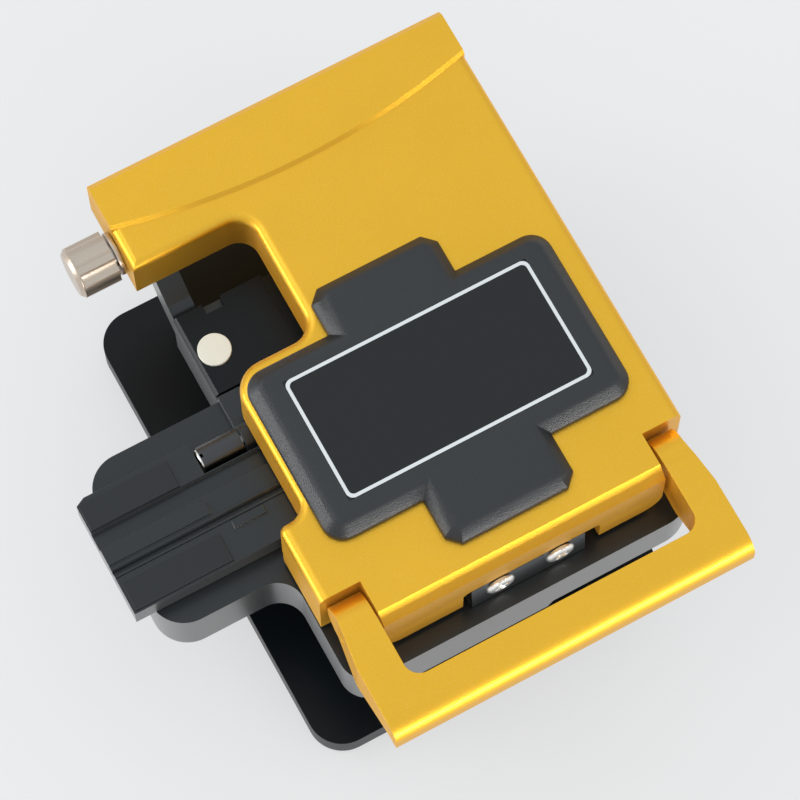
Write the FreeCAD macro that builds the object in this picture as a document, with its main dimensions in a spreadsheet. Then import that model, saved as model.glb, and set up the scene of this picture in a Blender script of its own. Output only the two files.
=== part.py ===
"""Fibre cleaver: a hinged lid over a flat bed, a sliding fibre guide and a blade carriage.

All sizes are in millimetres. X runs to the right along the fibre, Y to the rear where the lid is
hinged, Z up. The origin is on the table, under the middle of the cleaver.
"""
import FreeCAD, Part
import math
import os
import Sketcher

V = FreeCAD.Vector
doc = FreeCAD.newDocument("FibreCleaver")
sheet = doc.addObject("Spreadsheet::Sheet", "Sizes")
XY, XZ, YZ = "XY_Plane", "XZ_Plane", "YZ_Plane"

# Fits that every piece shares.
RunFit = 0.05
SlideFit = 0.1
PartGap = 0.4
# Base and its feet.
FootRise = 1.2
FootDia = 8
FootInset = 6.5
FootSink = 0.8
BaseWidth = 62.6
BaseDepth = 82.6
BaseThick = 4.6
BaseMidX = 6.75
BaseMidY = 4
BaseRound = 5.8
# Housing between base and bed.
HouseLeft = -11.5
HouseRight = 33
HouseFront = -27.7
HouseRear = 40.3
HouseWall = 2.5
Pillar = 7.5
# Bed: the main plate with its tongue to the left.
BedUnder = 25
BedThick = 11
BedLeft = -19
BedRight = 42.5
BedFront = -36.9
BedRear = 29
TongueLeft = -40
TongueFront = -15.9
TongueRear = 13.9
StepLeft = -15.7
BedRound = 4.5
BedRoundRight = 6.5
TongueRound = 5.8
ScoopLeft = 14.4
ScoopRise = 1.6
ScoopDepth = 9
# Lid hinge.
HingeY = 40.3
HingeDrop = 6
ShaftDia = 4
EarRadius = 4.2
EarWidth = 4
EarLeft = -15.5
EarRight = 35.5
# Lid.
LidLeft = -19
LidRight = 43.2
LidFront = -33.7
LidRear = 50.05
LidTop = 51
LidPlate = 9.6
LidGap = 1.5
WindowRight = 0.6
WindowFront = 12.2
WindowRear = 34.35
SideLeft = -14.2
SideFront = -12.8
LidWall = 3
LidRoof = 2.7
LidEdge = 1.6
LidChamfer = 2
CrownRise = 0.6
CrownFront = 37.65
# Bail handle and the notches that hold its arms.
NotchRear = -26.2
NotchInset = 6.9
NotchFloor = 40.3
LidCorner = 3.4
BailArm = 5.4
BailFlare = 1.05
BailInset = 1.1
BailFront = -50.05
BailInner = -43.1
BailTopDrop = 0.1
BailDeep = 10.9
BailRoll = 3.2
BailLip = 5.6
BailRightArm = 4.5
BailRightInset = 1.8
BailPinY = -31.3
BailPinDrop = 5.2
BailPinDia = 2.4
PinGrip = 4
BailEnd = 4.8
# Fibre line, blade and carriage.
FibreY = -4.4
FibreRise = 4.4
BladeX = 4
BladeRadius = 8
BladeThick = 1
BladeHome = 7.3
BladeStroke = 22
SlotLeft = 0.4
SlotRight = 9.2
TowerThick = 3
CarriageWidth = 16
CarriageLength = 18
RailWidth = 7
RailTall = 5
CarriageLow = 1.2
CarriageTall = 12
TabWidth = 8
TabTall = 5
TabReach = 38
# Fibre slide on the tongue.
SlideLeft = -43.2
SlideRight = -10
SlideFront = -11.7
SlideRear = 8.6
SlideTall = 4.3
PadTall = 0.4
MiddleRight = -25.5
TongueRibWidth = 7.6
TongueRibTall = 2.4
GroovePlateWidth = 1.8
GroovePlateSink = 1.4
ChannelRear = 2.95
ChannelFront = 0.05
ChannelDeep = 1.2
RearPadRight = -27.8
FrontPadRight = -26
FrontPadRear = -6.55
# Slide lock.
LockY = 5.8
LockRise = 2.7
LockRadius = 2.25
LockLeft = -22.9
LockSplit = -16
LockPinDia = 1.6
BearingLong = 8
# Block behind the tongue, with its plug.
BlockRise = 1.6
BlockFront = 14.5
BlockRight = 0.9
PlugX = -12.4
PlugY = 21.3
PlugRadius = 2.7
# Clamps either side of the blade.
ClampWidth = 5.4
ClampLength = 14.4
ClampPadTall = 1.1
LeftClampX = -3.2
RightClampX = 12.4
# Anvil.
AnvilWidth = 3
AnvilLength = 8
AnvilWire = 0.35
GuideWall = 1
# Latch.
LatchLeft = 2.9
LatchRight = 22.6
LatchTall = 5.6
LatchDeep = 5.4
LatchScrewX = 12.95
LatchScrewGap = 10.4
LatchHead = 4.4
LatchLean = 0.5
LatchDrop = 1.1
# Cover on the lid.
CoverX = 12.9
CoverY = -4.83
CoverWidth = 52.4
CoverDepth = 30.05
CoverTall = 3
CoverBevel = 2
TabX = 13.1
CoverTabWidth = 22.1
CoverTabRear = 17.7
CoverTabFront = -28.6
LabelWidth = 42
LabelDepth = 21.25
LabelSink = 0.3
LabelRim = 0.55
LabelRound = 1.2
LabelX = 13.1
LabelY = -4.58
# Knob on the hinge shaft.
KnobRadius = 4.2
KnobLeft = -27.2
KnobRight = -20.4
KnobWasher = 0.8
# Screws.
ScrewDia = 2.5
ScrewHead = 5
ScrewHeadTall = 1.6
ScrewGrip = 6


class Size:
    """A number together with the text that binds a property to the sheet."""

    def __init__(self, value, text):
        self.value, self.text = float(value), text

    def join(self, other, sign, value, swap=False):
        other = other if isinstance(other, Size) else Size(other, repr(float(other)))
        pair = (other.text, self.text) if swap else (self.text, other.text)
        return Size(value(self.value, other.value), "(%s %s %s)" % (pair[0], sign, pair[1]))

    def __add__(self, o):
        return self.join(o, "+", lambda a, b: a + b)

    def __radd__(self, o):
        return self.join(o, "+", lambda a, b: b + a, True)

    def __sub__(self, o):
        return self.join(o, "-", lambda a, b: a - b)

    def __rsub__(self, o):
        return self.join(o, "-", lambda a, b: b - a, True)

    def __mul__(self, o):
        return self.join(o, "*", lambda a, b: a * b)

    def __rmul__(self, o):
        return self.join(o, "*", lambda a, b: b * a, True)

    def __truediv__(self, o):
        return self.join(o, "/", lambda a, b: a / b)

    def __neg__(self):
        return 0 - self


class Sizes:
    """The driving dimensions above, each kept once in the sheet under its own name."""

    def __init__(self, named):
        for row, (name, value) in enumerate(named.items(), 1):
            sheet.set("A%d" % row, name)
            sheet.set("B%d" % row, str(value))
            sheet.setAlias("B%d" % row, name)
            setattr(self, name, Size(value, "Sizes." + name))


S = Sizes({name: value for name, value in globals().items() if type(value) in (int, float)})
doc.recompute()

BaseTop = S.FootRise + S.BaseThick
BedTop = S.BedUnder + S.BedThick
FibreZ = BedTop + S.FibreRise
LidSkirt = BedTop + S.LidGap
LidUnder = S.LidTop - S.LidPlate
LidCeiling = S.LidTop - S.LidRoof
LidMidX = (S.LidLeft + S.LidRight) / 2
HingeZ = S.LidTop - S.HingeDrop
BailPinZ = S.LidTop - S.BailPinDrop
BailTop = S.LidTop - S.BailTopDrop
BailUnder = BailTop - S.BailDeep
BladeZ = FibreZ - S.BladeRadius
SlideUnder = BedTop + S.PartGap * 0.5
SlideTop = SlideUnder + S.SlideTall
LockZ = BedTop + S.LockRise


def bind(thing, **values):
    """Give each property its value and tie it to the sheet."""
    for name, size in values.items():
        path = name.replace("__", ".")
        if isinstance(size, Size):
            thing.setExpression(path, size.text)
        else:
            setattr(thing, path, size)


def number(size):
    return size.value if isinstance(size, Size) else float(size)


def place(thing, x=0, y=0, z=0):
    thing.Placement = FreeCAD.Placement(V(number(x), number(y), number(z)), thing.Placement.Rotation)
    for axis, size in (("x", x), ("y", y), ("z", z)):
        if isinstance(size, Size):
            thing.setExpression("Placement.Base." + axis, size.text)
    return thing


def new_body(name):
    body = doc.addObject("PartDesign::Body", name)
    body.Label = name
    return body


def new_sketch(body, name, plane, level=0):
    sketch = body.newObject("Sketcher::SketchObject", name)
    origin = [f for f in body.Origin.OriginFeatures if f.Role == plane][0]
    sketch.AttachmentSupport = [(origin, "")]
    sketch.MapMode = "FlatFace"
    if plane == XZ:
        level = -level
    sketch.AttachmentOffset = FreeCAD.Placement(V(0, 0, number(level)), FreeCAD.Rotation())
    if isinstance(level, Size):
        sketch.setExpression("AttachmentOffset.Base.z", level.text)
    return sketch


def fix_point(sketch, geo, end, x, y):
    for kind, size in (("DistanceX", x), ("DistanceY", y)):
        n = sketch.addConstraint(Sketcher.Constraint(kind, -1, 1, geo, end, number(size)))
        if isinstance(size, Size):
            sketch.setExpression("Constraints[%d]" % n, size.text)


def outline(sketch, points):
    """A closed run of straight lines, with every corner tied to the sheet."""
    first = sketch.GeometryCount
    count = len(points)
    flat = [V(number(x), number(y), 0) for x, y in points]
    for i in range(count):
        sketch.addGeometry(Part.LineSegment(flat[i], flat[(i + 1) % count]), False)
    for i in range(count):
        sketch.addConstraint(Sketcher.Constraint("Coincident", first + i, 2, first + (i + 1) % count, 1))
    for i, (x, y) in enumerate(points):
        fix_point(sketch, first + i, 1, x, y)


def ring(sketch, x, y, radius):
    geo = sketch.addGeometry(Part.Circle(V(number(x), number(y), 0), V(0, 0, 1), number(radius)), False)
    fix_point(sketch, geo, 3, x, y)
    n = sketch.addConstraint(Sketcher.Constraint("Radius", geo, number(radius)))
    if isinstance(radius, Size):
        sketch.setExpression("Constraints[%d]" % n, radius.text)


def rect(left, front, right, rear):
    return [(left, front), (right, front), (right, rear), (left, rear)]


def grow(body, name, plane, level, length, shapes, back=False, cut=False):
    """Pad or pocket one sketch. The material runs along the plane's outward row axis from level."""
    sketch = new_sketch(body, name + "_sketch", plane, level)
    for shape in shapes:
        if isinstance(shape, tuple):
            ring(sketch, *shape)
        else:
            outline(sketch, shape)
    doc.recompute()
    before = body.Shape.Volume if body.Shape and not body.Shape.isNull() else 0
    feature = body.newObject("PartDesign::Pocket" if cut else "PartDesign::Pad", name)
    feature.Profile = sketch
    feature.Length = number(length)
    bind(feature, Length=length)
    # The XZ plane looks towards the front, and a pocket runs against its sketch.
    feature.Reversed = bool(back) ^ (plane == XZ) ^ bool(cut)
    doc.recompute()
    change = body.Shape.Volume - before
    if (change >= -1e-6) if cut else (change <= 1e-6):
        raise RuntimeError("%s.%s changes nothing" % (body.Label, name))
    return feature


def pad(body, name, plane, level, length, *shapes):
    return grow(body, name, plane, level, length, shapes)


def pocket(body, name, plane, level, length, *shapes):
    return grow(body, name, plane, level, length, shapes, cut=True)


def near(a, b):
    return abs(number(a) - number(b)) < 1e-3


def edges(body, direction, places):
    """Names of the straight edges along X, Y or Z that cross the other two axes at the given places."""
    others = {"X": ("y", "z"), "Y": ("x", "z"), "Z": ("x", "y")}[direction]
    names = []
    for i, edge in enumerate(body.Tip.Shape.Edges, 1):
        if not isinstance(edge.Curve, Part.Line):
            continue
        a, b = edge.Vertexes[0].Point, edge.Vertexes[-1].Point
        if all(abs(getattr(a, k) - getattr(b, k)) < 1e-4 for k in others):
            for place_ in places:
                if all(near(getattr(a, k), v) for k, v in zip(others, place_) if v is not None):
                    names.append("Edge%d" % i)
                    break
    if len(names) < len(places):
        raise RuntimeError("%s lacks an edge along %s" % (body.Label, direction))
    return names


def soften(body, kind, name, size, edge_names):
    """A fillet or chamfer on the named edges of the body as it stands."""
    feature = body.newObject("PartDesign::" + kind, name)
    feature.Base = (body.Tip if body.Tip != feature else feature.BaseFeature, edge_names)
    bind(feature, **{"Radius" if kind == "Fillet" else "Size": size})
    body.Tip = feature
    doc.recompute()
    return feature


def fillet(body, name, size, direction, *places):
    return soften(body, "Fillet", name, size, edges(body, direction, places))


def chamfer(body, name, size, direction, *places):
    return soften(body, "Chamfer", name, size, edges(body, direction, places))


def rod(name, axis, x, y, z, radius, length):
    """A Part::Cylinder along a row axis, starting at the point given."""
    thing = doc.addObject("Part::Cylinder", name)
    thing.Label = name
    bind(thing, Radius=radius, Height=length)
    turn = {"X": FreeCAD.Rotation(V(0, 1, 0), 90), "Y": FreeCAD.Rotation(V(1, 0, 0), -90),
            "Z": FreeCAD.Rotation()}[axis]
    thing.Placement = FreeCAD.Placement(V(0, 0, 0), turn)
    return place(thing, x, y, z)


def block(name, left, front, low, right, rear, high):
    """A Part::Box between two corners."""
    thing = doc.addObject("Part::Box", name)
    thing.Label = name
    bind(thing, Length=right - left, Width=rear - front, Height=high - low)
    return place(thing, left, front, low)


def joined(kind, name, things):
    """A boolean of several objects: Part::MultiFuse or Part::Cut."""
    thing = doc.addObject("Part::" + kind, name)
    thing.Label = name
    if kind == "Cut":
        thing.Base, thing.Tool = things
    else:
        thing.Shapes = things
    return thing


def group(name, things):
    """Several separate solids of one kind kept as one piece, such as a set of screws."""
    thing = doc.addObject("Part::Compound", name)
    thing.Label = name
    thing.Links = things
    return thing


nodes = []


def keep(thing, name):
    thing.Label = name
    nodes.append((name, thing))
    return thing


def csk_screw(name, x, y, low, length):
    """A countersunk screw along Z. Its flat head is flush with the level low."""
    head = doc.addObject("Part::Cone", name + "_head")
    bind(head, Radius1=S.ScrewHead / 2, Radius2=S.ScrewDia / 2, Height=S.ScrewHeadTall)
    place(head, x, y, low)
    shank = rod(name + "_shank", "Z", x, y, low + S.ScrewHeadTall, S.ScrewDia / 2, length - S.ScrewHeadTall)
    return joined("MultiFuse", name, [head, shank])


# ---------------------------------------------------------------- base
BaseLeft, BaseRight = S.BaseMidX - S.BaseWidth / 2, S.BaseMidX + S.BaseWidth / 2
BaseFront, BaseRear = S.BaseMidY - S.BaseDepth / 2, S.BaseMidY + S.BaseDepth / 2
feet = [(x, y) for x in (BaseLeft + S.FootInset, BaseRight - S.FootInset)
        for y in (BaseFront + S.FootInset, BaseRear - S.FootInset)]
pillars = [(x, y) for x in (S.HouseLeft + S.Pillar / 2, S.HouseRight - S.Pillar / 2)
           for y in (S.HouseFront + S.Pillar / 2, S.BedRear - S.Pillar / 2)]

base = new_body("base_plate")
place(base, z=S.FootRise)
pad(base, "plate", XY, 0, S.BaseThick, rect(BaseLeft, BaseFront, BaseRight, BaseRear))
fillet(base, "corners", S.BaseRound, "Z", *[(x, y) for x in (BaseLeft, BaseRight)
                                           for y in (BaseFront, BaseRear)])
pocket(base, "foot_recesses", XY, 0, S.FootSink, *[(x, y, S.FootDia / 2) for x, y in feet])
pocket(base, "screw_heads", XY, 0, S.ScrewHeadTall, *[(x, y, S.ScrewHead / 2 + S.RunFit) for x, y in pillars])
pocket(base, "screw_holes", XY, 0, S.BaseThick, *[(x, y, S.ScrewDia / 2) for x, y in pillars])
keep(base, "base_plate")

keep(group("rubber_feet", [rod("foot_%d" % i, "Z", x, y, 0, S.FootDia / 2, S.FootRise + S.FootSink)
                           for i, (x, y) in enumerate(feet, 1)]), "rubber_feet")

# ---------------------------------------------------------------- housing
house = new_body("housing")
place(house, z=BaseTop)
HouseTall = S.BedUnder - BaseTop
pad(house, "walls", XY, 0, HouseTall, rect(S.HouseLeft, S.HouseFront, S.HouseRight, S.HouseRear))
InLeft, InRight = S.HouseLeft + S.HouseWall, S.HouseRight - S.HouseWall
InFront, InRear = S.HouseFront + S.HouseWall, S.BedRear - S.HouseWall
PLeft, PRight = S.HouseLeft + S.Pillar, S.HouseRight - S.Pillar
PFront, PRear = S.HouseFront + S.Pillar, S.BedRear - S.Pillar
pocket(house, "bay", XY, 0, HouseTall,
       [(PLeft, InFront), (PRight, InFront), (PRight, PFront), (InRight, PFront), (InRight, PRear),
        (PRight, PRear), (PRight, InRear), (PLeft, InRear), (PLeft, PRear), (InLeft, PRear),
        (InLeft, PFront), (PLeft, PFront)])
pocket(house, "rear_bay", XY, 0, HouseTall - S.HouseWall,
       rect(InLeft, S.BedRear, InRight, S.HouseRear - S.HouseWall))
CarriageUnder = BaseTop + S.CarriageLow
TabLow = CarriageUnder + S.CarriageTall / 2 - S.TabTall / 2
TabRear = S.BladeHome + S.TabWidth / 2
pocket(house, "tab_slot", YZ, S.HouseRight - S.HouseWall, S.HouseWall,
       rect(TabRear - S.TabWidth - S.BladeStroke - S.PartGap, TabLow - BaseTop - S.PartGap,
            TabRear + S.PartGap, TabLow - BaseTop + S.TabTall + S.PartGap))
pocket(house, "screw_holes", XY, 0, HouseTall, *[(x, y, S.ScrewDia / 2) for x, y in pillars])
keep(house, "housing")

screw_long = S.BaseThick + HouseTall + S.ScrewGrip
keep(group("base_screws", [csk_screw("base_screw_%d" % i, x, y, S.FootRise, screw_long)
                           for i, (x, y) in enumerate(pillars, 1)]), "base_screws")

# ---------------------------------------------------------------- bed
bed = new_body("bed_plate")
place(bed, z=S.BedUnder)
pad(bed, "plate", XY, 0, S.BedThick,
    [(S.BedLeft, S.BedFront), (S.BedRight, S.BedFront), (S.BedRight, S.BedRear), (S.StepLeft, S.BedRear),
     (S.StepLeft, S.TongueRear), (S.TongueLeft, S.TongueRear), (S.TongueLeft, S.TongueFront),
     (S.BedLeft, S.TongueFront)])
fillet(bed, "tongue_corners", S.TongueRound, "Z", (S.TongueLeft, S.TongueRear), (S.TongueLeft, S.TongueFront))
fillet(bed, "bed_corners", S.BedRound, "Z", (S.BedLeft, S.BedFront), (S.BedLeft, S.TongueFront))
fillet(bed, "right_corner", S.BedRoundRight, "Z", (S.BedRight, S.BedFront))
# The front wall is undercut on the right.
pocket(bed, "scoop", XZ, S.BedFront, S.ScoopDepth,
       [(S.ScoopLeft, -1), (S.ScoopLeft + 1.6, S.ScoopRise), (S.BedRight + 1, S.ScoopRise),
        (S.BedRight + 1, -1)])
pocket(bed, "blade_slot", XY, 0, S.BedThick,
       rect(S.SlotLeft, S.HouseFront + S.HouseWall, S.SlotRight, S.BladeHome + S.BladeRadius + 1))
# A way for the slide's rib, open at the end of the tongue.
RibMid = (S.SlideFront + S.SlideRear) / 2
RibFront, RibRear = RibMid - S.TongueRibWidth / 2, RibMid + S.TongueRibWidth / 2
pocket(bed, "rib_way", XY, S.BedThick - S.TongueRibTall - S.SlideFit, S.TongueRibTall + S.SlideFit,
       rect(S.TongueLeft - 1, RibFront - S.SlideFit, S.SlideRight + S.PartGap, RibRear + S.SlideFit))
# Hinge ears: a gooseneck each, ending in a round eye.
for side, left in (("left", S.EarLeft), ("right", S.EarRight)):
    pad(bed, side + "_neck", YZ, left, S.EarWidth,
        [(S.BedRear - 6, S.BedThick), (S.BedRear - 6, S.BedThick / 3), (S.BedRear, S.BedThick / 3),
         (S.HingeY - 5, HingeZ - 12 - S.BedUnder), (S.HingeY - 0.7, HingeZ - 7.1 - S.BedUnder),
         (S.HingeY + 2.9, HingeZ - 3 - S.BedUnder), (S.HingeY, HingeZ - S.BedUnder),
         (S.HingeY - 3.9, HingeZ - 1.6 - S.BedUnder), (S.HingeY - 4.3, HingeZ - 4.2 - S.BedUnder),
         (S.BedRear + 2.3, S.BedThick + 1.2), (S.BedRear, S.BedThick)])
    pad(bed, side + "_eye", YZ, left, S.EarWidth, (S.HingeY, HingeZ - S.BedUnder, S.EarRadius))
    pocket(bed, side + "_eye_bore", YZ, left, S.EarWidth, (S.HingeY, HingeZ - S.BedUnder, S.ShaftDia / 2))
KeeperLeft, KeeperRight = S.LatchLeft, S.LatchRight
KeeperFront, KeeperThick = S.LidFront + 0.2, S.LidGap * 0.5
pocket(bed, "keeper_seat", XY, S.BedThick - KeeperThick * 0.8, KeeperThick * 0.8,
       rect(KeeperLeft, KeeperFront, KeeperRight, KeeperFront + S.LatchDeep))
pocket(bed, "screw_holes", XY, 0, S.ScrewGrip, *[(x, y, S.ScrewDia / 2) for x, y in pillars])
keep(bed, "bed_plate")
keep(block("keeper_plate", KeeperLeft, KeeperFront, BedTop - KeeperThick * 0.8, KeeperRight,
           KeeperFront + S.LatchDeep, BedTop + KeeperThick * 0.2), "keeper_plate")

# ---------------------------------------------------------------- block behind the tongue
rear_block = new_body("rear_block")
place(rear_block, z=BedTop)
NotchLeft = S.StepLeft + 5
pad(rear_block, "block", XY, 0, S.BlockRise,
    [(S.StepLeft, S.BlockFront), (S.BlockRight - 1.2, S.BlockFront), (S.BlockRight - 1.2, S.BedRear),
     (NotchLeft + 3.2, S.BedRear), (NotchLeft + 3.2, S.BedRear - 1.8), (NotchLeft, S.BedRear - 1.8),
     (NotchLeft, S.BedRear), (S.StepLeft, S.BedRear)])
pocket(rear_block, "plug_seat", XY, S.BlockRise / 2, S.BlockRise, (S.PlugX, S.PlugY, S.PlugRadius))
chamfer(rear_block, "edge", 0.5, "Y", (S.StepLeft, S.BlockRise))
keep(rear_block, "rear_block")
keep(rod("access_plug", "Z", S.PlugX, S.PlugY, BedTop + S.BlockRise / 2, S.PlugRadius, S.BlockRise / 2 + 0.4),
     "access_plug")

# ---------------------------------------------------------------- hinge shaft and knob
keep(rod("hinge_shaft", "X", S.KnobLeft + 1.5, S.HingeY, HingeZ, S.ShaftDia / 2,
         S.LidRight - 1 - S.KnobLeft - 1.5), "hinge_shaft")

knob = new_body("hinge_knob")
place(knob, S.KnobLeft, S.HingeY, HingeZ)
KnobLong = S.KnobRight - S.KnobLeft
pad(knob, "barrel", YZ, 0, KnobLong, (0, 0, S.KnobRadius))
pocket(knob, "bore", YZ, 1.5, KnobLong - 1.5, (0, 0, S.ShaftDia / 2 + S.RunFit))
rim = [n for n in ("Edge%d" % (i + 1) for i in range(len(knob.Tip.Shape.Edges)))
       if abs(knob.Tip.Shape.getElement(n).BoundBox.XMax) < 1e-6
       and knob.Tip.Shape.getElement(n).BoundBox.YLength > number(S.KnobRadius)]
soften(knob, "Chamfer", "end_chamfer", S.KnobWasher * 0.8, rim[:1])
flute = new_sketch(knob, "flute_sketch", YZ, 0.9)
ring(flute, S.KnobRadius + 2.1, 0, 2.5)
doc.recompute()
cut = knob.newObject("PartDesign::Pocket", "flute")
cut.Profile = flute
cut.Length = 40
cut.Reversed = True
doc.recompute()
turns = knob.newObject("PartDesign::PolarPattern", "flutes")
turns.Originals = [cut]
turns.Axis = ([f for f in knob.Origin.OriginFeatures if f.Role == "X_Axis"][0], [""])
turns.Angle = 360
turns.Occurrences = 8
knob.Tip = turns
doc.recompute()
keep(knob, "hinge_knob")

washer = joined("Cut", "knob_washer",
                [rod("washer_disc", "X", S.LidLeft - S.PartGap / 2 - S.KnobWasher, S.HingeY, HingeZ,
                     S.KnobRadius - 0.6, S.KnobWasher),
                 rod("washer_hole", "X", S.LidLeft - S.PartGap / 2 - S.KnobWasher - 1, S.HingeY, HingeZ,
                     S.ShaftDia / 2, S.KnobWasher + 2)])
keep(washer, "knob_washer")


def coil(radius, wire, pitch, tall):
    """A plain coil of square wire standing on the origin along +Z."""
    helix = Part.makeHelix(pitch, tall, radius)
    w = wire / 2
    corners = [V(radius + i * w, 0, j * w) for i, j in ((-1, -1), (1, -1), (1, 1), (-1, 1), (-1, -1))]
    sweep = Part.BRepOffsetAPI.MakePipeShell(Part.Wire(helix.Edges))
    sweep.setBiNormalMode(V(0, 0, 1))
    sweep.add(Part.makePolygon(corners))
    sweep.build()
    sweep.makeSolid()
    return sweep.shape()


# ---------------------------------------------------------------- fibre slide
slide = new_body("fibre_slide")
place(slide, z=SlideUnder)
RelX, RelY = S.LockLeft - 0.6, S.LockY - S.LockRadius - S.PartGap
pad(slide, "plate", XY, 0, S.SlideTall,
    [(S.SlideLeft, S.SlideFront), (S.SlideRight, S.SlideFront), (S.SlideRight, RelY), (RelX, RelY),
     (RelX, S.SlideRear), (S.SlideLeft + 1.6, S.SlideRear), (S.SlideLeft, S.SlideRear - 0.8)])
pad(slide, "rib", XY, -S.TongueRibTall - S.PartGap * 0.5, S.TongueRibTall + S.PartGap * 0.5,
    rect(S.TongueLeft + 1, RibFront, S.SlideRight, RibRear))
pocket(slide, "channel", XY, S.SlideTall - S.ChannelDeep, S.ChannelDeep,
       rect(S.SlideLeft, S.ChannelFront, S.SlideRight, S.ChannelRear))
GrooveFront, GrooveRear = S.FibreY - S.GroovePlateWidth / 2, S.FibreY + S.GroovePlateWidth / 2
pocket(slide, "groove_seat", XY, S.SlideTall - S.GroovePlateSink, S.GroovePlateSink,
       rect(S.SlideLeft, GrooveFront, S.SlideRight, GrooveRear))
pad(slide, "ridge", XY, S.SlideTall, S.PadTall,
    rect(S.LockLeft - 0.6, S.FibreY - 2.6, S.LockSplit - 2, S.FibreY - 1.2))
MiddleRear = S.ChannelFront - S.PartGap
pad(slide, "middle_ridge", XY, S.SlideTall, S.PadTall,
    [(S.SlideLeft, GrooveRear + S.PartGap), (S.MiddleRight, GrooveRear + S.PartGap),
     (S.MiddleRight, MiddleRear - 0.9), (S.MiddleRight - 0.9, MiddleRear), (S.SlideLeft, MiddleRear)])
keep(slide, "fibre_slide")

groove = new_body("groove_plate")
place(groove, z=SlideTop - S.GroovePlateSink)
GrooveTall = S.GroovePlateSink + S.PadTall * 0.5
pad(groove, "plate", YZ, S.SlideLeft, S.SlideRight - S.SlideLeft,
    [(GrooveFront, 0), (GrooveRear, 0), (GrooveRear, GrooveTall), (S.FibreY + 0.55, GrooveTall),
     (S.FibreY, GrooveTall - 0.6), (S.FibreY - 0.55, GrooveTall), (GrooveFront, GrooveTall)])
keep(groove, "groove_plate")

keep(group("slide_pads", [
    block("rear_pad", S.SlideLeft + 0.2, S.ChannelRear + 0.1, SlideTop, S.RearPadRight, S.SlideRear - 1,
          SlideTop + S.PadTall * 1.5),
    block("front_pad", S.SlideLeft + 0.4, S.SlideFront + 0.4, SlideTop, S.FrontPadRight, S.FrontPadRear,
          SlideTop + S.PadTall)]), "slide_pads")

# ---------------------------------------------------------------- slide lock
bearing = new_body("lock_bearing")
place(bearing, z=BedTop)
BearingRight = S.LockSplit + S.BearingLong
pad(bearing, "foot", XY, 0, S.BlockRise,
    rect(S.StepLeft, S.LockY - S.LockRadius, BearingRight, S.BlockFront - 0.3))
pad(bearing, "barrel", YZ, S.StepLeft, BearingRight - S.StepLeft, (S.LockY, S.LockRise, S.LockRadius))
pocket(bearing, "pin_bore", YZ, S.StepLeft, BearingRight - S.StepLeft, (S.LockY, S.LockRise, S.LockPinDia / 2))
keep(bearing, "lock_bearing")
barrel = new_body("lock_barrel")
place(barrel, 0, S.LockY, LockZ)
pad(barrel, "barrel", YZ, S.LockLeft, S.LockSplit - S.LockLeft, (0, 0, S.LockRadius))
pocket(barrel, "bore", YZ, S.LockLeft + 0.8, S.LockSplit - S.LockLeft, (0, 0, S.LockPinDia / 2 + S.RunFit))
pocket(barrel, "slot", YZ, S.LockLeft, 0.5, rect(-0.3, -S.LockRadius, 0.3, S.LockRadius))
keep(barrel, "lock_barrel")
keep(rod("lock_pin", "X", S.LockLeft + 1, S.LockY, LockZ, S.LockPinDia / 2,
         BearingRight - 2 - S.LockLeft), "lock_pin")

# ---------------------------------------------------------------- lower clamps
clamps, pads_ = [], []
for side, x in (("left", S.LeftClampX), ("right", S.RightClampX)):
    low = (x - S.ClampWidth / 2, S.FibreY - S.ClampLength / 2, x + S.ClampWidth / 2, S.FibreY + S.ClampLength / 2)
    PadUnder = FibreZ - 0.1 - S.ClampPadTall
    clamps.append(block("lower_clamp_" + side, low[0], low[1], BedTop, low[2], low[3], PadUnder))
    pads_.append(block("lower_pad_" + side, low[0] + 0.3, low[1] + 0.3, PadUnder, low[2] - 0.3, low[3] - 0.3,
                       PadUnder + S.ClampPadTall))
keep(group("lower_clamps", clamps), "lower_clamps")
keep(group("lower_pads", pads_), "lower_pads")

# ---------------------------------------------------------------- rail, carriage and blade
RailMid = (S.SlotLeft + S.SlotRight) / 2
keep(block("rail", RailMid - S.RailWidth / 2, InFront, BaseTop, RailMid + S.RailWidth / 2, InRear,
           BaseTop + S.RailTall), "rail")
carriage = new_body("carriage")
place(carriage, 0, S.BladeHome, CarriageUnder)
half = S.CarriageWidth / 2
RailClear = S.RailTall - S.CarriageLow + S.SlideFit
pad(carriage, "saddle", XZ, -S.CarriageLength / 2, S.CarriageLength,
    [(RailMid - half, 0), (RailMid - S.RailWidth / 2 - S.SlideFit, 0),
     (RailMid - S.RailWidth / 2 - S.SlideFit, RailClear), (RailMid + S.RailWidth / 2 + S.SlideFit, RailClear),
     (RailMid + S.RailWidth / 2 + S.SlideFit, 0), (RailMid + half, 0), (RailMid + half, S.CarriageTall),
     (RailMid - half, S.CarriageTall)])
TowerLeft = S.BladeX + S.BladeThick / 2 + 0.8
pad(carriage, "tower", XY, S.CarriageTall, BladeZ + 3.2 - CarriageUnder - S.CarriageTall,
    rect(TowerLeft, -6, TowerLeft + S.TowerThick, 6))
pad(carriage, "blade_boss", YZ, S.BladeX + S.BladeThick / 2, 0.8, (0, BladeZ - CarriageUnder, 2.4))
pocket(carriage, "blade_hole", YZ, S.BladeX + S.BladeThick / 2, 0.8 + S.TowerThick,
       (0, BladeZ - CarriageUnder, S.ScrewDia / 2))
pad(carriage, "tab", YZ, RailMid + half, S.TabReach - RailMid - half,
    rect(-S.TabWidth / 2, TabLow - CarriageUnder, S.TabWidth / 2, TabLow - CarriageUnder + S.TabTall))
fillet(carriage, "tab_corners", 1.5, "Z", (S.TabReach, -S.TabWidth / 2), (S.TabReach, S.TabWidth / 2))
keep(carriage, "carriage")
blade = new_body("blade")
place(blade, S.BladeX - S.BladeThick / 2, S.BladeHome, BladeZ)
pad(blade, "disc", YZ, 0, S.BladeThick, (0, 0, S.BladeRadius), (0, 0, S.ScrewDia / 2 + S.RunFit))
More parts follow.
